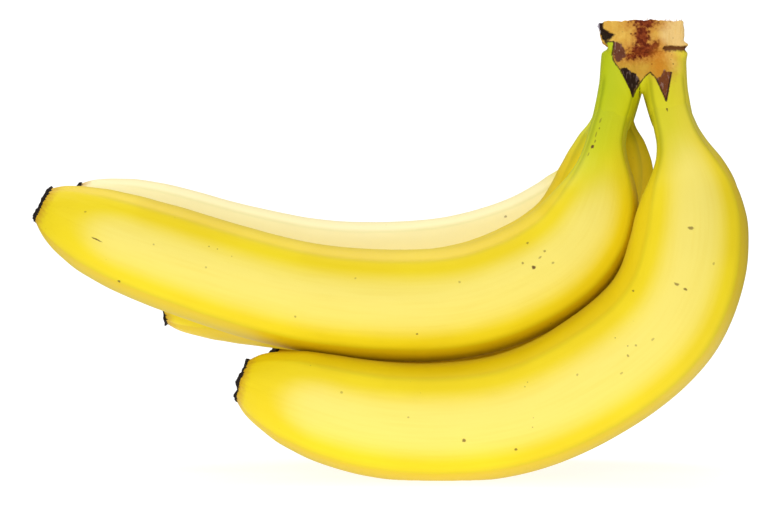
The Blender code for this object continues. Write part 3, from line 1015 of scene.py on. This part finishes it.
@dataclass(frozen=True)
class Crown:
    """The woody crown that every finger grows from, with the necks' upper ends. Lengths in millimetres."""
    node: str = "crown"
    left: float = 67.7
    top: float = 146.3
    front: float = 7.5
    underside: float = 133.4
    voxel: float = 0.40
    chamfer: float = 4.0
    stub_above: float = 3.0
    stub_below: float = 24.5
    outline: tuple[tuple[float, float], ...] = (
        (66.7, 146.2), (81.0, 146.5), (94.2, 146.3), (94.6, 141.5), (94.3, 137.6), (96.0, 135.6),
        (95.2, 132.6), (81.0, 132.4), (70.2, 132.6), (70.0, 138.9), (66.8, 141.2), (66.0, 143.5),
    )
    # How deep each section lies, how far it is shifted and widened, and how far its top sags.
    sections: tuple[tuple[float, float, float, float], ...] = (
        (7.6, 0.0, 0.0, 0.0), (8.6, 0.1, 0.0, 0.2), (10.5, 0.3, 0.0, 0.6), (16.0, 1.2, -0.5, 1.6),
        (25.0, 2.0, -1.0, 2.8), (34.0, 2.8, -1.4, 3.4), (43.0, 3.4, -1.7, 3.4), (51.0, 3.8, -2.0, 3.0),
        (58.0, 4.0, -3.0, 2.6),
    )
    # Neighbouring fingers by number, how far down the arch between their necks begins, and its two slopes.
    webs: tuple[tuple[int, int, float, float, float], ...] = (
        (0, 1, 9.3, 3.6, 2.2), (0, 2, 5.0, 3.0, 3.0), (1, 4, 6.0, 3.0, 3.0), (2, 4, 5.0, 3.0, 3.0),
        (2, 3, 6.0, 3.0, 3.0), (3, 4, 6.0, 3.0, 3.0),
    )
    # Patches on the front, right of the upper left corner and down from the top.
    neck_skin: tuple[tuple[tuple[float, float], ...], ...] = (
        ((-6.0, 7.2), (4.2, 6.8), (3.9, 11.0), (4.5, 13.2), (6.4, 15.8), (9.7, 22.2), (10.5, 24.6),
         (11.2, 22.8), (12.8, 20.2), (13.2, 40.0), (-6.0, 40.0)),
        ((12.9, 40.0), (12.6, 20.4), (14.4, 18.2), (16.1, 16.6), (18.0, 18.8), (20.8, 26.0), (22.8, 16.8),
         (21.0, 13.0), (20.6, 9.4), (34.0, 9.2), (34.0, 40.0)),
    )
    tears: tuple[tuple[tuple[float, float], ...], ...] = (
        ((6.4, 15.5), (8.4, 14.9), (9.8, 16.4), (11.6, 17.2), (13.0, 19.4), (11.2, 22.5), (10.4, 24.8),
         (9.5, 22.0)),
        ((17.9, 18.9), (19.4, 17.9), (20.6, 15.6), (21.6, 16.4), (23.0, 16.6), (21.1, 26.2),
         (20.3, 24.6)),
    )
    scar: tuple[tuple[float, float], ...] = (
        (4.0, 6.6), (6.2, 7.0), (7.9, 9.6), (8.6, 11.4), (5.6, 13.6), (4.1, 11.0))
    notch: tuple[tuple[float, float], ...] = (
        (-3.0, -0.6), (0.8, -0.4), (1.0, 2.4), (2.4, 3.5), (4.7, 4.6), (3.2, 6.0), (1.4, 7.3), (-3.0, 6.4))
    rust: tuple[FieldMark, ...] = (
        FieldMark(14.3, 0.9, 3.7, 1.5), FieldMark(13.4, 5.0, 2.3, 4.0), FieldMark(14.0, 9.7, 4.6, 2.3),
        FieldMark(10.0, 11.4, 3.4, 0.9), FieldMark(17.4, 8.2, 1.6, 1.4),
    )
    amber: FieldMark = FieldMark(19.0, 14.6, 2.6, 4.6)
    pale_end: FieldMark = FieldMark(24.5, 4.0, 5.4, 5.4)
    stain: FieldMark = FieldMark(20.4, 13.0, 5.0, 6.4)

    def blank(self, fingers: tuple[Finger, ...]) -> tuple[np.ndarray, list[tuple[int, ...]]]:
        """The rough bodies that the crown is made of: its block, the neck ends and the webs between them.

        Args:
            fingers: The fingers that grow from it.

        Returns:
            Points and faces of closed bodies that run into each other.
        """
        bodies: list[list[np.ndarray]] = []
        outline = np.array(self.outline)
        middle = outline[:, 0].mean()
        height = np.clip((outline[:, 1] - self.underside) / (self.top - self.underside), 0.0, 1.0)
        rings = []
        for depth, shift, swell, sag in self.sections:
            x = outline[:, 0] + shift + swell * np.sign(outline[:, 0] - middle)
            lift = self.chamfer * (1.0 - height) * smoothstep(14.0, self.front, np.array([depth]))[0]
            rings.append(np.stack([x, np.full(len(x), depth), outline[:, 1] - sag * height + lift], axis=1))
        bodies.append(rings)
        angles = np.arange(32) * 360.0 / 32
        places = np.arange(-self.stub_above, self.stub_below, 0.75)
        proud = 0.55 - 0.85 * smoothstep(15.0, 22.0, places)
        for finger in fingers:
            bodies.append(finger.rings_at(places, angles, proud))
        for one, other, apex, near_slope, far_slope in self.webs:
            bodies.append(self.web(fingers[one], fingers[other], apex, near_slope, far_slope))
        points, faces, first = [], [], 0
        for rings in bodies:
            points.extend(rings)
            faces.extend(loft_faces(len(rings), len(rings[0]), first))
            first += len(rings) * len(rings[0])
        return np.concatenate(points), faces

    def web(self, one: Finger, other: Finger, apex: float, near_slope: float,
            far_slope: float) -> list[np.ndarray]:
        """A web of tissue from one neck's middle to another's, with a pointed arch below.

        Args:
            one: A finger.
            other: Its neighbour.
            apex: How far below the necks' roots the arch between them begins.
            near_slope: How steeply the arch falls towards the first finger.
            far_slope: How steeply it falls towards the other.

        Returns:
            Its rings from one neck to the other.
        """
        down = np.array([0.5 * apex])
        near, far = one.spine.centres(down)[0], other.spine.centres(down)[0]
        across = far - near
        across[2] = 0.0
        gap = float(np.linalg.norm(across))
        across /= gap
        side = np.array([-across[1], across[0], 0.0])
        near_edge = one.half_width(down)[0]
        far_edge = gap - other.half_width(down)[0]
        middle = 0.5 * (near_edge + far_edge)
        angles = np.radians(np.arange(28) * 360.0 / 28)
        rings = []
        for place in np.linspace(0.5, gap - 0.5, 30):
            offset = place - middle
            fall = -offset * near_slope if offset < 0.0 else offset * far_slope
            height = min(apex + fall, self.stub_below - 1.5) + self.stub_above
            thick = 0.80 * near_edge * (1.0 - 0.22 * math.exp(-(offset / 2.5) ** 2))
            centre = near + across * place
            centre[2] = self.underside + self.stub_above - 0.5 * height
            rings.append(centre + np.outer(thick * np.cos(angles), side)
                         + np.outer(0.5 * height * np.sin(angles), (0.0, 0.0, 1.0)))
        return rings

    def remesh(self, seat: Seat, points: np.ndarray, faces: list[tuple[int, ...]]) -> bpy.types.Object:
        """Fuse the rough bodies into one even mesh.

        Args:
            seat: Where the drawing stands.
            points: Points of the bodies.
            faces: Faces of the bodies.

        Returns:
            The fused object.
        """
        rough = seat.mesh("crown_blank", points, faces)
        fuse = rough.modifiers.new("fuse", "REMESH")
        fuse.mode = "VOXEL"
        fuse.voxel_size = self.voxel * MM
        ready = rough.evaluated_get(bpy.context.evaluated_depsgraph_get())
        mesh = bpy.data.meshes.new_from_object(ready)
        mesh.name = "stem_crown"
        bpy.data.objects.remove(rough, do_unlink=True)
        item = bpy.data.objects.new("stem_crown", mesh)
        bpy.context.scene.collection.objects.link(item)
        mesh.shade_smooth()
        return item

    def build(self, seat: Seat, fingers: tuple[Finger, ...]) -> bpy.types.Object:
        """Build the crown's mesh, soften it, cut its tears and paint its patches.

        Args:
            seat: Where the drawing stands.
            fingers: The fingers that grow from it.

        Returns:
            The crown.
        """
        item = self.remesh(seat, *self.blank(fingers))
        mesh = item.data
        count = len(mesh.vertices)
        flat = np.zeros(count * 3)
        mesh.vertices.foreach_get("co", flat)
        points = flat.reshape(-1, 3) / MM - seat.offset
        ends = np.zeros(len(mesh.edges) * 2, int)
        mesh.edges.foreach_get("vertices", ends)
        ends = ends.reshape(-1, 2)
        degree = np.bincount(ends.ravel(), minlength=count).astype(float)
        soft = 0.5 * smoothstep(138.5, 135.0, points[:, 2])
        for step in range(30):
            total = np.stack([np.bincount(ends[:, 0], points[ends[:, 1], axis], count)
                              + np.bincount(ends[:, 1], points[ends[:, 0], axis], count)
                              for axis in range(3)], axis=1)
            blend = np.full(count, 0.5) if step < 5 else soft
            points += blend[:, None] * (total / degree[:, None] - points)
        mesh.vertices.foreach_set("co", ((points + seat.offset) * MM).ravel())
        mesh.update()
        normals = np.zeros(count * 3)
        mesh.vertex_normals.foreach_get("vector", normals)
        normals = normals.reshape(-1, 3)

        fields = self.patches(mesh, points, normals, fingers)
        tissue = 1.0 - smoothstep(-0.25, 0.35, fields["skin"])
        move = tissue * (0.28 * lattice_noise(points, 2.4, 71) + 0.14 * lattice_noise(points, 0.9, 72)
                         + 0.12 * lattice_noise(points * np.array([1.0, 1.0, 0.12]), 0.8, 73))
        move -= 0.35 * smoothstep(-0.3, 0.7, fields["torn"])
        move -= 0.95 * smoothstep(-0.4, 0.5, fields["groove"])
        move += 0.18 * smoothstep(-0.3, 0.3, fields["skin"]) * smoothstep(2.5, 0.5, fields["skin"])
        points = points + normals * move[:, None]
        mesh.vertices.foreach_set("co", ((points + seat.offset) * MM).ravel())
        mesh.update()
        return item

    def patches(self, mesh: bpy.types.Mesh, points: np.ndarray, normals: np.ndarray,
                fingers: tuple[Finger, ...]) -> dict[str, np.ndarray]:
        """Work out and paint where skin, tears, bruises and grooves lie.

        Args:
            mesh: The crown's mesh.
            points: Its vertices in the drawing.
            normals: Its unit normals.
            fingers: The fingers that grow from it.

        Returns:
            The depth of each place inside each patch, by the patch's name.
        """
        found = [finger.locate(points, -14.0, 32.0) for finger in fingers]
        gaps = np.stack([radius - finger.half_width(np.maximum(along, 0.0))
                         for finger, (along, _, radius) in zip(fingers, found)])
        owner = gaps.argmin(axis=0)
        order = np.sort(gaps, axis=0)
        between = order[1] - order[0]
        along, angles, radius = (np.choose(owner, [f[part] for f in found]) for part in range(3))
        width = np.choose(owner, [finger.half_width(np.maximum(f[0], 0.0))
                                  for finger, f in zip(fingers, found)])
        turned, girth = np.radians(angles), 0.5 * fingers[0].width
        paint(mesh, "straight", np.stack([along, girth * np.cos(turned), girth * np.sin(turned)], axis=1))
        facet = fingers[0].facets(angles % 360.0)[1]
        finishes = np.array([finger.row.neck_finish() for finger in fingers])
        paint(mesh, "tone", finishes[owner, 0])
        paint(mesh, "facet", finishes[owner, 1])
        # Painted shade along the ridges of the neck skin, as on the fingers.
        paint(mesh, "shade_and_ridge_tint", 0.75 * smoothstep(0.34, 0.04, facet) * smoothstep(4.0, 9.0, along))
        paint(mesh, "green", np.choose(owner, [finger.greenness(f[0], f[1])
                                               for finger, f in zip(fingers, found)]))

        right, down = points[:, 0] - self.left, self.top - points[:, 2]
        at_front = smoothstep(20.0, 16.0, points[:, 1]) * smoothstep(0.65, 0.25, normals[:, 1])
        wander = lattice_noise(points, 5.0, 81) + 0.4 * lattice_noise(points, 1.7, 82)
        edge = (9.4 + 1.2 * wander + 13.0 * smoothstep(5.0, 0.0, between)
                + 0.8 * np.maximum(radius - width - 1.0, 0.0))
        around = np.clip(down - edge, -3.0, 3.0)
        drawn = np.maximum(*(polygon_depth(right, down, corners) for corners in self.neck_skin))
        tears = np.stack([polygon_depth(right, down, corners) for corners in self.tears])
        off_front = 6.0 * (1.0 - at_front)
        fields = {
            "skin": np.clip(drawn, -3.0, 3.0) * at_front + around * (1.0 - at_front),
            "torn": np.clip(tears.max(axis=0) - off_front, -3.0, 3.0),
            "rust": np.max([mark.depth(right, down) for mark in self.rust], axis=0) - off_front,
            "scar": polygon_depth(right, down, self.scar) - off_front,
            "orange": self.amber.depth(right, down) - off_front,
            "low": down - 12.4 - off_front - np.maximum(right - 20.0, 0.0),
            "pale": self.pale_end.depth(right, down) - off_front,
            "stain": self.stain.depth(right, down) - off_front,
            # A painted highlight along the left edge of the cut's upper part.
            "rim": -0.4 - right - 2.0 * (down > 7.0) - off_front,
        }
        behind = smoothstep(4.5, 0.5, between) * smoothstep(11.0, 14.0, down) * (1.0 - at_front)
        torn_behind = 1.6 * behind + 1.2 * wander * behind - 1.0 - 4.0 * at_front
        fields["torn"] = np.maximum(fields["torn"], torn_behind)
        bruised = 1.3 * lattice_noise(points, 7.0, 83) - 0.55 - 4.0 * at_front
        fields["rust"] = np.maximum(fields["rust"], bruised)
        fields["halo"] = fields["rust"] + 1.4
        # The groove across the cut and the notch at its left are pushed in, and painted dark as the shade in
        # them.
        slot_depth = 0.95 - np.abs(down - 9.2 - 0.25 * wander) - 1.4 * smoothstep(20.8, 19.4, right)
        slot_depth -= 2.0 * smoothstep(24.0, 30.0, points[:, 1])
        notch = polygon_depth(right, down, self.notch) - off_front
        fields["groove"] = np.clip(np.maximum(slot_depth - 2.0 * (right < 19.0), notch), -3.0, 3.0)
        for name, values in fields.items():
            paint(mesh, name, np.clip(values, -3.0, 3.0))
        paint(mesh, "warm", smoothstep(14.0, 17.5, right))
        paint(mesh, "border", np.abs(fields["skin"]) + 0.8 * smoothstep(18.4, 20.2, right) * (down < 16.5))
        return fields

    def dress(self, item: bpy.types.Object, flesh: CrownFlesh, peel: Peel) -> None:
        """Give the crown its cut tissue, attach it to the bunch's body and hide its CAD node.

        Args:
            item: The crown's object.
            flesh: The finish of the cut.
            peel: The finish of the skin that runs up into it.
        """
        item.data.materials.clear()
        item.data.materials.append(flesh.material("crown_cut_tissue", peel))
        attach(item, BODY)
        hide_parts(self.node)


@dataclass(frozen=True)
class LooseFibres:
    """Short threads that stand out of the crown's cut edge. Lengths in millimetres."""
    count: int = 60
    thickness: float = 0.16
    longest: float = 1.3
    seed: int = 5

    def build(self, seat: Seat, crown: Crown) -> bpy.types.Object:
        """Build all the threads as one mesh of thin tapering tubes.

        Args:
            seat: Where the drawing stands.
            crown: The crown that they stand on.

        Returns:
            The threads.
        """
        draw = np.random.default_rng(self.seed)
        sides, joints = 5, 5
        angles = np.arange(sides) * 2.0 * math.pi / sides
        points, faces, first = [], [], 0
        for _ in range(self.count):
            right = draw.uniform(13.0, 26.5)
            root = np.array([crown.left + right, crown.front + draw.uniform(0.2, 2.5), crown.top - 0.5])
            lean = np.array([draw.normal(0.0, 0.5), draw.normal(-0.3, 0.3), 1.0])
            lean /= np.linalg.norm(lean)
            curl = draw.normal(0.0, 0.5, 3)
            length = draw.uniform(0.6, self.longest)
            side = np.cross(lean, (0.0, 1.0, 0.0))
            side /= np.linalg.norm(side)
            other = np.cross(lean, side)
            for step in range(joints):
                share = step / (joints - 1)
                centre = root + lean * length * share + curl * share * share * 0.6
                radius = 0.5 * self.thickness * (1.0 - 0.75 * share)
                ring = np.outer(np.cos(angles), side) + np.outer(np.sin(angles), other)
                points.append(centre + radius * ring)
            faces.extend(loft_faces(joints, sides, first))
            first += joints * sides
        return seat.mesh("crown_fibres", np.concatenate(points), faces)

    def dress(self, item: bpy.types.Object, fibre: DryFibre) -> None:
        """Give the threads their finish and attach them to the bunch's body.

        Args:
            item: The threads' object.
            fibre: The finish.
        """
        item.data.materials.append(fibre.material("crown_dry_fibre"))
        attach(item, BODY)


@dataclass(frozen=True)
class Softbox:
    """A soft square lamp: where it stands from the bunch's middle, its size in metres and its power."""
    name: str
    place: tuple[float, float, float]
    size: float
    watts: float

    def build(self, target: Vector) -> None:
        """Hang the lamp and aim it at the bunch.

        Args:
            target: The bunch's middle.
        """
        lamp = bpy.data.lights.new(self.name, "AREA")
        lamp.shape = "SQUARE"
        lamp.size = self.size
        lamp.energy = self.watts
        item = bpy.data.objects.new(self.name, lamp)
        item.location = target + Vector(self.place)
        item.rotation_euler = (-Vector(self.place)).to_track_quat("-Z", "Y").to_euler()
        item.visible_camera = False
        bpy.context.scene.collection.objects.link(item)


@dataclass(frozen=True)
class Studio:
    """A white studio: a pale matt floor, even white light from all round, soft lamps and the camera."""
    surround_front: float = 0.57
    surround_back: float = 0.30
    backdrop: float = 1.15
    floor_glow: float = 0.82
    floor_side: float = 0.44
    floor_drop: float = 0.0002
    distance: float = 1.0
    elevation: float = 2.0
    lens: float = 144.2
    aim_height: float = 0.06945
    lamps: tuple[Softbox, ...] = (
        Softbox("front_lamp", (-0.25, -1.2, 0.35), 0.6, 5.4),
        Softbox("top_lamp", (-0.1, 0.55, 1.2), 1.0, 11.0),
    )

    def build(self, seat: Seat) -> None:
        """Build the floor, the light and the camera.

        Args:
            seat: Where the drawing stands: the camera looks at its origin, above the floor.
        """
        target = Vector((seat.shift[0] * MM, seat.shift[1] * MM, self.aim_height))
        for lamp in self.lamps:
            lamp.build(target)
        self.floor()
        self.air()
        camera = bpy.data.cameras.new("camera")
        camera.lens = self.lens
        camera.sensor_width = 36.0
        camera.clip_start = 0.05
        camera.clip_end = 50.0
        item = bpy.data.objects.new("camera", camera)
        tilt = math.radians(self.elevation)
        back = Vector((0.0, -math.cos(tilt), math.sin(tilt)))
        item.location = target + back * self.distance
        item.rotation_euler = (-back).to_track_quat("-Z", "Y").to_euler()
        bpy.context.scene.collection.objects.link(item)
        bpy.context.scene.camera = item
        bpy.context.scene.view_settings.view_transform = "Standard"

    def floor(self) -> None:
        """Lay the floor: a sheet of white card that glows a little, as lit card does beside bright lamps."""
        half = 0.5 * self.floor_side
        mesh = bpy.data.meshes.new("floor")
        square = ((-half, -half), (half, -half), (half, half), (-half, half))
        mesh.from_pydata([(x, y, -self.floor_drop) for x, y in square], [], [(0, 1, 2, 3)])
        item = bpy.data.objects.new("floor", mesh)
        bpy.context.scene.collection.objects.link(item)
        card = bpy.data.materials.new("white_card")
        card.use_nodes = True
        tree = card.node_tree
        shader = tree.nodes["Principled BSDF"]
        place = add_node(tree, "ShaderNodeTexCoord").outputs["Object"]
        grain = add_node(tree, "ShaderNodeTexNoise", {"Vector": place, "Scale": 300.0, "Detail": 2.0})
        tone = layered(tree, "#9E9E9E", ((grain, "#A4A4A4"),))
        tree.links.new(tone.outputs[2], shader.inputs["Base Color"])
        shader.inputs["Roughness"].default_value = 0.9
        shader.inputs["Specular IOR Level"].default_value = 0.1
        shader.inputs["Emission Color"].default_value = (1.0, 1.0, 1.0, 1.0)
        shader.inputs["Emission Strength"].default_value = self.floor_glow
        mesh.materials.append(card)

    def air(self) -> None:
        """Fill the room with even white light, with a brighter white behind what the camera sees."""
        world = bpy.data.worlds.new("white_room")
        world.use_nodes = True
        tree = world.node_tree
        background = tree.nodes["Background"]
        seen = add_node(tree, "ShaderNodeLightPath").outputs["Is Camera Ray"]
        outwards = add_node(tree, "ShaderNodeTexCoord").outputs["Generated"]
        split = add_node(tree, "ShaderNodeSeparateXYZ", {0: outwards})
        around = add_node(tree, "ShaderNodeMapRange", {0: split.outputs["Y"], 1: -0.5, 2: 0.7,
                                                       3: self.surround_front, 4: self.surround_back})
        level = add_node(tree, "ShaderNodeMapRange", {0: seen, 3: around, 4: self.backdrop})
        tree.links.new(level.outputs[0], background.inputs["Strength"])
        background.inputs["Color"].default_value = (1.0, 1.0, 1.0, 1.0)
        bpy.context.scene.world = world


FRONT_UPPER_MARKS = (
    Mark(222.2, -8.0, 4.0, 0.55, 0.95), Mark(211.5, -48.0, 1.1, 1.0), Mark(79.0, 11.0, 1.5, 1.3, 0.95),
    Mark(119.0, -29.0, 0.9, 0.8, 0.7), Mark(76.5, 38.0, 1.3, 0.9, 0.6), Mark(73.0, 20.0, 1.0, 0.9, 0.6),
    Mark(73.0, 4.0, 1.1, 0.8, 0.5), Mark(81.5, 21.0, 1.0, 0.9, 0.6), Mark(75.5, 17.0, 1.6, 0.7, 0.5),
    Mark(156.0, -22.0, 0.8, 0.8, 0.5), Mark(187.0, 5.0, 0.8, 0.8, 0.4), Mark(104.0, 24.0, 0.9, 0.8, 0.4),
    Mark(139.0, 30.0, 1.0, 0.7, 0.4), Mark(229.0, 22.0, 0.9, 0.8, 0.5), Mark(205.0, 12.0, 0.8, 0.7, 0.4),
    Mark(22.6, 37.0, 1.9, 0.6, 0.5), Mark(25.2, 33.0, 1.0, 0.5, 0.6), Mark(27.3, 38.0, 2.1, 0.5, 0.5),
    Mark(29.6, 35.0, 1.2, 0.6, 0.6), Mark(31.5, 38.0, 1.6, 1.1, 1.0), Mark(34.3, 42.0, 1.7, 0.5, 0.5),
)
FRONT_LOWER_MARKS = (
    Mark(162.5, -12.0, 1.3, 1.2, 0.8), Mark(148.0, -29.0, 1.0, 1.0, 0.8), Mark(62.0, 8.0, 0.9, 2.2, 0.7),
    Mark(78.0, 11.0, 1.0, 2.0, 0.7), Mark(78.5, 1.0, 0.9, 1.6, 0.8), Mark(86.5, 46.0, 1.0, 1.0, 0.7),
    Mark(105.0, 6.0, 0.9, 1.0, 0.6), Mark(19.0, 17.0, 4.2, 0.6, 0.95), Mark(17.4, 13.0, 1.0, 1.0, 0.8),
    Mark(96.0, 2.0, 1.2, 0.8, 0.4), Mark(101.0, 9.0, 0.9, 0.9, 0.5), Mark(110.0, -4.0, 1.1, 0.8, 0.4),
    Mark(122.0, 18.0, 0.9, 0.8, 0.4), Mark(180.0, 12.0, 0.9, 0.8, 0.4), Mark(202.0, 28.0, 1.0, 0.8, 0.4),
    Mark(70.0, -20.0, 0.9, 0.9, 0.4),
)
BACK_UPPER_MARKS = (Mark(79.0, 42.0, 1.2, 1.1, 0.6), Mark(150.0, 160.0, 1.4, 1.0, 0.7),
                    Mark(110.0, 185.0, 3.5, 0.8, 0.6))
BACK_LOWER_MARKS = (Mark(120.0, 170.0, 1.6, 1.0, 0.7), Mark(158.0, 200.0, 1.2, 1.0, 0.6))

FINGERS = (
    Finger("banana_front_upper", 36.0, 0.165, 0.0, Row.INNER, 11, (
        (74.6, 14.5, 133.1), (73.1, 12.5, 121.4), (69.6, 8.0, 108.5), (67.3, 3.0, 92.5),
        (58.7, 0.5, 74.3), (42.0, 0.0, 62.5), (24.5, 0.0, 56.6), (2.9, 0.0, 55.0),
        (-28.5, 0.0, 58.2), (-60.2, 0.0, 66.9), (-85.2, 0.0, 75.5), (-101.0, 0.5, 82.1),
        (-111.5, 1.0, 87.3)), FRONT_UPPER_MARKS),
    Finger("banana_front_lower", 39.7, 0.175, -3.0, Row.OUTER, 12, (
        (88.8, 14.5, 133.1), (89.5, 10.0, 121.5), (91.8, 2.5, 109.5), (94.9, -6.0, 92.5),
        (94.5, -10.5, 74.9), (86.5, -11.5, 52.2), (67.5, -10.5, 34.8), (38.5, -9.5, 21.1),
        (15.0, -9.0, 18.3), (-15.4, -8.5, 21.6), (-32.5, -7.0, 26.8), (-47.5, -5.0, 31.4)),
        FRONT_LOWER_MARKS),
    Finger("banana_middle", 35.8, 0.120, 4.0, Row.INNER, 13, (
        (76.4, 33.0, 133.1), (74.4, 33.0, 122.0), (73.0, 33.0, 110.0), (71.4, 33.5, 96.2),
        (63.2, 34.0, 77.0), (45.4, 34.3, 63.4), (26.0, 34.3, 56.6), (3.3, 34.3, 54.0),
        (-29.8, 34.3, 55.2), (-58.0, 34.0, 56.0), (-75.8, 33.5, 53.0))),
    # This finger's upper side is painted pale as painted light.
    Finger("banana_back_upper", 34.8, 0.160, 2.0, Row.INNER, 14, (
        (77.6, 51.0, 133.1), (77.2, 54.0, 122.1), (75.4, 59.0, 111.0), (71.8, 64.5, 95.2),
        (60.6, 67.0, 80.8), (43.2, 68.0, 71.0), (26.0, 68.0, 65.8), (3.4, 67.5, 63.2),
        (-25.3, 67.5, 64.4), (-53.0, 67.5, 70.3), (-78.7, 67.5, 78.0), (-97.0, 67.0, 84.0),
        (-108.0, 66.5, 88.0)), BACK_UPPER_MARKS, painted_light=0.75),
    Finger("banana_back_lower", 37.8, 0.150, -5.0, Row.OUTER, 15, (
        (91.1, 40.0, 133.1), (92.5, 40.5, 121.9), (96.8, 42.0, 108.6), (100.6, 44.5, 91.9),
        (99.6, 46.5, 73.5), (89.2, 47.0, 50.0), (67.6, 47.0, 32.6), (40.0, 46.5, 20.2),
        (15.5, 46.0, 17.1), (-13.4, 45.5, 20.6), (-30.2, 44.5, 27.2), (-41.2, 43.0, 35.0)),
        BACK_LOWER_MARKS),
)


def main() -> None:
    """Build and dress the whole bunch and its studio."""
    logging.basicConfig(level=logging.INFO, format="%(name)s: %(message)s")
    peel, flesh, fibre = Peel(), CrownFlesh(), DryFibre()
    seat = Seat.on_frame(FINGERS)
    for finger in FINGERS:
        item = finger.build(seat)
        finger.dress(item, peel)
        log.info("%s: %d vertices", item.name, len(item.data.vertices))
    crown = Crown()
    item = crown.build(seat, FINGERS)
    crown.dress(item, flesh, peel)
    log.info("%s: %d vertices", item.name, len(item.data.vertices))
    fibres = LooseFibres()
    item = fibres.build(seat, crown)
    fibres.dress(item, fibre)
    log.info("%s: %d vertices", item.name, len(item.data.vertices))
    Studio().build(seat)


if __name__ == "__main__":
    main()
